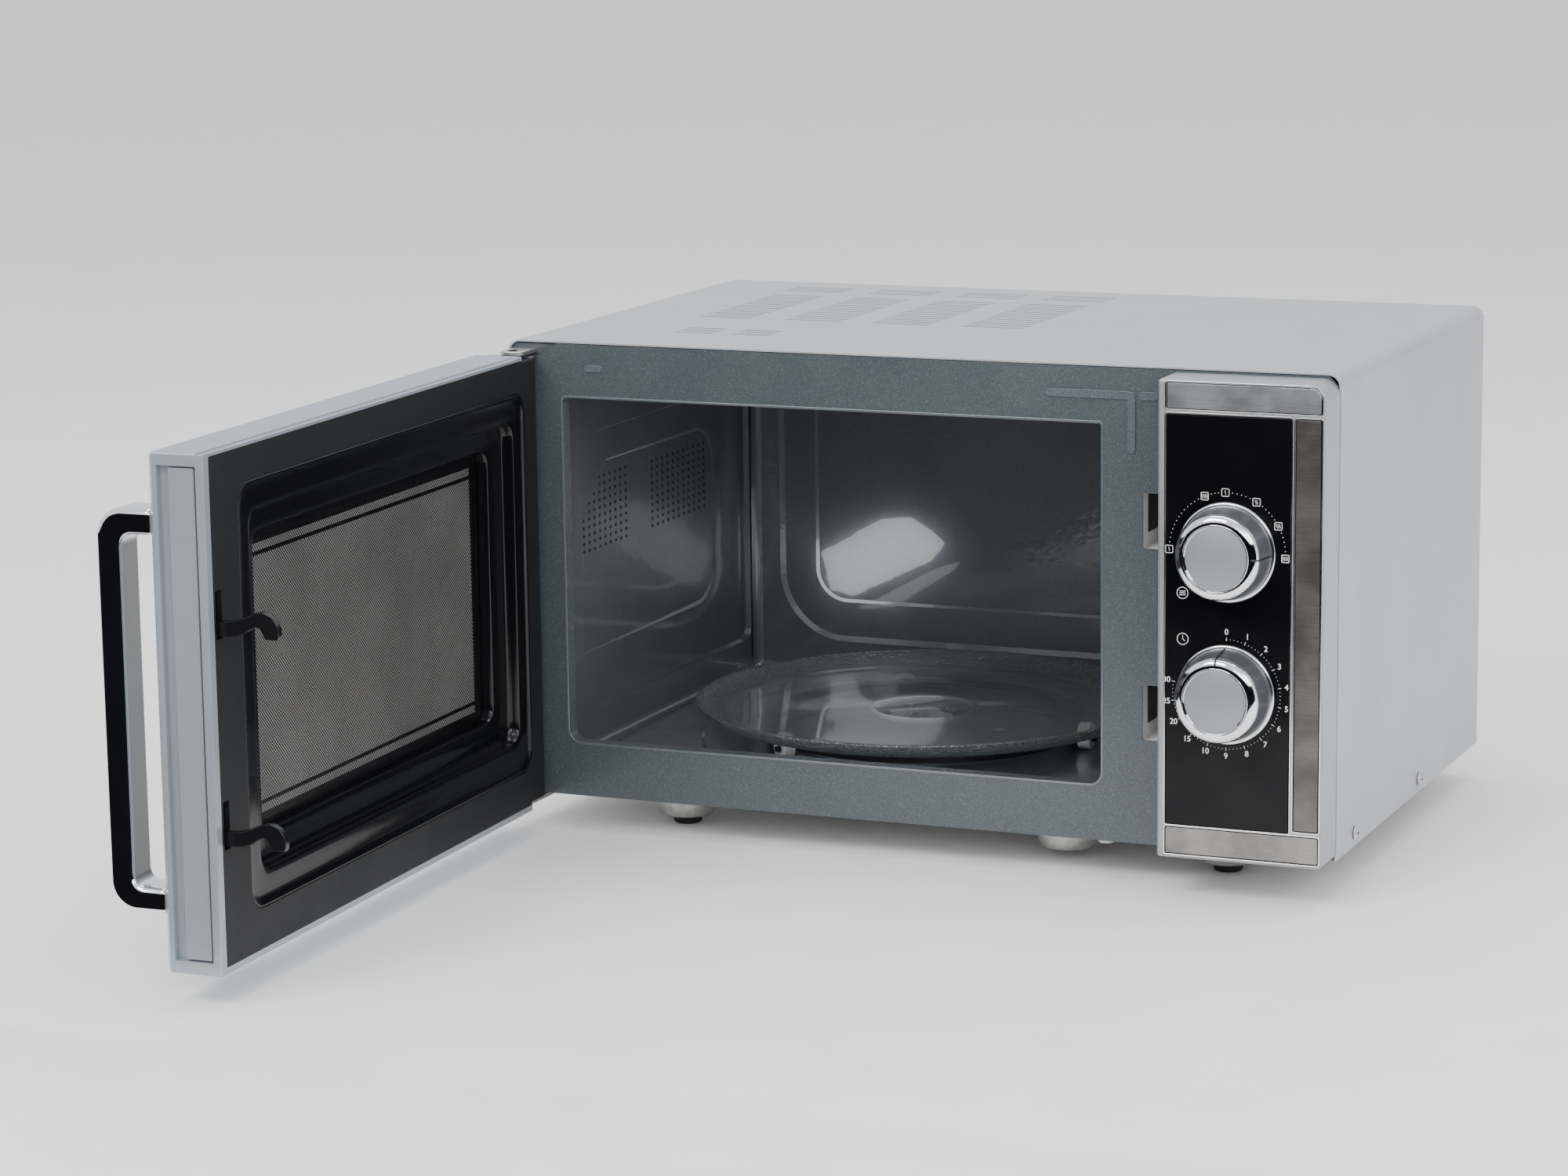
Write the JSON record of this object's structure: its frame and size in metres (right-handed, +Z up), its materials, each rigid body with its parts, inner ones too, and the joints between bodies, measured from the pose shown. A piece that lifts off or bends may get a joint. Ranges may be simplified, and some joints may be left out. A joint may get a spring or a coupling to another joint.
{
  "type": "microwave oven",
  "caption": "Countertop microwave oven with a side-hinged pull door, sprung hook latch, dial controls and a coupled glass turntable on rollers.",
  "frame": {"origin": "centre of the footprint of the oven with its door open, on the surface that the feet stand on", "axes": "-Y out of the oven's front, +X towards the control panel, +Z up"},
  "size_m": [0.5162, 0.712, 0.2812],
  "materials": {
    "back_panel": "zinc-plated sheet",
    "base_plate": "zinc-plated sheet",
    "capacitor": "drawn can",
    "cavity_box": "glossy speckled grey enamel",
    "cavity_lamp": "lamp and holder",
    "choke_cover": "black, grained margin and gloss recess",
    "control_bezel": "silver-painted moulding",
    "cord_gland": "black bush",
    "door_film": "clear film",
    "door_frame": "silver-grey painted moulding",
    "door_glass": "dark outer pane",
    "door_handle": "bright plated bar",
    "door_inner_panel": "grey enamel",
    "door_latch": "black moulding",
    "door_screen": "perforated sheet, dark enamel",
    "door_switch_lower": "black switch case",
    "door_switch_upper": "black switch case",
    "fan_blade": "natural moulding",
    "fan_motor": "laminated motor",
    "fan_shroud": "black moulding",
    "fascia_panel": "gloss black with white dial marks",
    "foot_front_left": "black rubber",
    "foot_front_right": "black rubber",
    "foot_rear_left": "black rubber",
    "foot_rear_right": "black rubber",
    "front_plate": "fine-speckled blue-grey enamel",
    "glass_tray": "clear greenish glass, stippled rim",
    "handle_screw_lower": "zinc-plated screw",
    "handle_screw_upper": "zinc-plated screw",
    "hinge_bracket_lower": "zinc-plated",
    "hinge_bracket_upper": "zinc-plated",
    "latch_housing": "light grey moulding",
    "latch_spring": "coil spring",
    "magnetron": "finned cooling block",
    "mica_cover": "mica sheet",
    "outer_cover": "satin light silver-grey powder paint",
    "power_knob_cap": "satin silver face",
    "power_knob_ring": "bright plated ring",
    "power_knob_skirt": "satin silver moulding",
    "power_selector": "natural plastic",
    "roller_ring": "white moulding",
    "roller_wheel_1": "white wheel",
    "roller_wheel_2": "white wheel",
    "roller_wheel_3": "white wheel",
    "side_screw_left_front": "zinc-plated screw",
    "side_screw_left_middle": "zinc-plated screw",
    "side_screw_right_front": "zinc-plated screw",
    "side_screw_right_middle": "zinc-plated screw",
    "timer_knob_cap": "satin silver face",
    "timer_knob_ring": "bright plated ring",
    "timer_knob_skirt": "satin silver moulding",
    "timer_unit": "natural plastic",
    "transformer": "varnished core and windings",
    "trim_strip_bottom": "brushed trim",
    "trim_strip_side": "brushed trim",
    "trim_strip_top": "brushed trim",
    "turntable_coupler": "white moulding",
    "turntable_motor": "plated can",
    "waveguide": "plain sheet"
  },
  "bodies": {
    "cabinet": {"back_panel": "back_panel", "base_plate": "base_plate", "capacitor": "capacitor", "cavity_box": "cavity_box", "cavity_lamp": "cavity_lamp", "control_bezel": "control_bezel", "cord_gland": "cord_gland", "door_switch_lower": "door_switch_lower", "door_switch_upper": "door_switch_upper", "fan_motor": "fan_motor", "fan_shroud": "fan_shroud", "fascia_panel": "fascia_panel", "foot_front_left": "foot_front_left", "foot_front_right": "foot_front_right", "foot_rear_left": "foot_rear_left", "foot_rear_right": "foot_rear_right", "front_plate": "front_plate", "hinge_bracket_lower": "hinge_bracket_lower", "hinge_bracket_upper": "hinge_bracket_upper", "latch_housing": "latch_housing", "magnetron": "magnetron", "mica_cover": "mica_cover", "outer_cover": "outer_cover", "power_selector": "power_selector", "side_screw_left_front": "side_screw_left_front", "side_screw_left_middle": "side_screw_left_middle", "side_screw_right_front": "side_screw_right_front", "side_screw_right_middle": "side_screw_right_middle", "timer_unit": "timer_unit", "transformer": "transformer", "trim_strip_bottom": "trim_strip_bottom", "trim_strip_side": "trim_strip_side", "trim_strip_top": "trim_strip_top", "turntable_motor": "turntable_motor", "waveguide": "waveguide"},
    "door": {"door_frame": "door_frame", "door_glass": "door_glass", "door_inner_panel": "door_inner_panel", "door_screen": "door_screen", "door_film": "door_film", "choke_cover": "choke_cover", "door_handle": "door_handle", "handle_screw_lower": "handle_screw_lower", "handle_screw_upper": "handle_screw_upper"},
    "latch": {"door_latch": "door_latch", "latch_spring": "latch_spring"},
    "power_knob": {"power_knob_skirt": "power_knob_skirt", "power_knob_ring": "power_knob_ring", "power_knob_cap": "power_knob_cap"},
    "timer_knob": {"timer_knob_skirt": "timer_knob_skirt", "timer_knob_ring": "timer_knob_ring", "timer_knob_cap": "timer_knob_cap"},
    "coupler": {"turntable_coupler": "turntable_coupler"},
    "tray": {"glass_tray": "glass_tray"},
    "roller_ring": {"roller_ring": "roller_ring"},
    "wheel_1": {"roller_wheel_1": "roller_wheel_1"},
    "wheel_2": {"roller_wheel_2": "roller_wheel_2"},
    "wheel_3": {"roller_wheel_3": "roller_wheel_3"},
    "fan": {"fan_blade": "fan_blade"}
  },
  "joints": [
    {"name": "door_hinge", "type": "hinge", "parent": "cabinet", "child": "door", "pos_m": [-0.21757, 0.02331, 0.146], "axis": [0, 0, 1], "range_deg": [-15, 88.4]},
    {"name": "latch_slide", "type": "slide", "parent": "door", "child": "latch", "axis": [0, 0, 1], "range_m": [0, 0.008], "stiffness_N_per_m": 200, "springref_m": -0.004, "deforming": ["latch_spring"]},
    {"name": "power_knob_turn", "type": "hinge", "parent": "cabinet", "child": "power_knob", "pos_m": [0.20363, -0.00369, 0.1892], "axis": [0, -1, 0], "range_deg": [0, 180]},
    {"name": "timer_knob_turn", "type": "hinge", "parent": "cabinet", "child": "timer_knob", "pos_m": [0.20363, -0.00369, 0.1134], "axis": [0, 1, 0], "range_deg": [0, 280]},
    {"name": "turntable_spin", "type": "hinge", "parent": "cabinet", "child": "coupler", "pos_m": [-0.03507, 0.18631, 0.04], "axis": [0, 0, 1], "continuous": true},
    {"name": "tray_lift", "type": "slide", "parent": "coupler", "child": "tray", "axis": [0, 0, 1], "range_m": [0, 0.05]},
    {"name": "roller_ring_spin", "type": "hinge", "parent": "cabinet", "child": "roller_ring", "pos_m": [-0.03507, 0.18631, 0.0423], "axis": [0, 0, 1], "continuous": true},
    {"name": "fan_spin", "type": "hinge", "parent": "cabinet", "child": "fan", "pos_m": [0.19693, 0.31831, 0.152], "axis": [0, 1, 0], "continuous": true},
    {"name": "wheel_1_spin", "type": "hinge", "parent": "roller_ring", "child": "wheel_1", "pos_m": [-0.08859, 0.10065, 0.0423], "axis": [-0.5299, -0.848, 0], "continuous": true},
    {"name": "wheel_2_spin", "type": "hinge", "parent": "roller_ring", "child": "wheel_2", "pos_m": [0.06587, 0.18278, 0.0423], "axis": [0.9994, -0.0349, 0], "continuous": true},
    {"name": "wheel_3_spin", "type": "hinge", "parent": "roller_ring", "child": "wheel_3", "pos_m": [-0.08249, 0.27548, 0.0423], "axis": [-0.4695, 0.8829, 0], "continuous": true}
  ],
  "couplings": [
    {"joint": "roller_ring_spin", "follows": "turntable_spin", "ratio": 0.5},
    {"joint": "wheel_1_spin", "follows": "turntable_spin", "ratio": -8.4167},
    {"joint": "wheel_2_spin", "follows": "turntable_spin", "ratio": -8.4167},
    {"joint": "wheel_3_spin", "follows": "turntable_spin", "ratio": -8.4167}
  ]
}
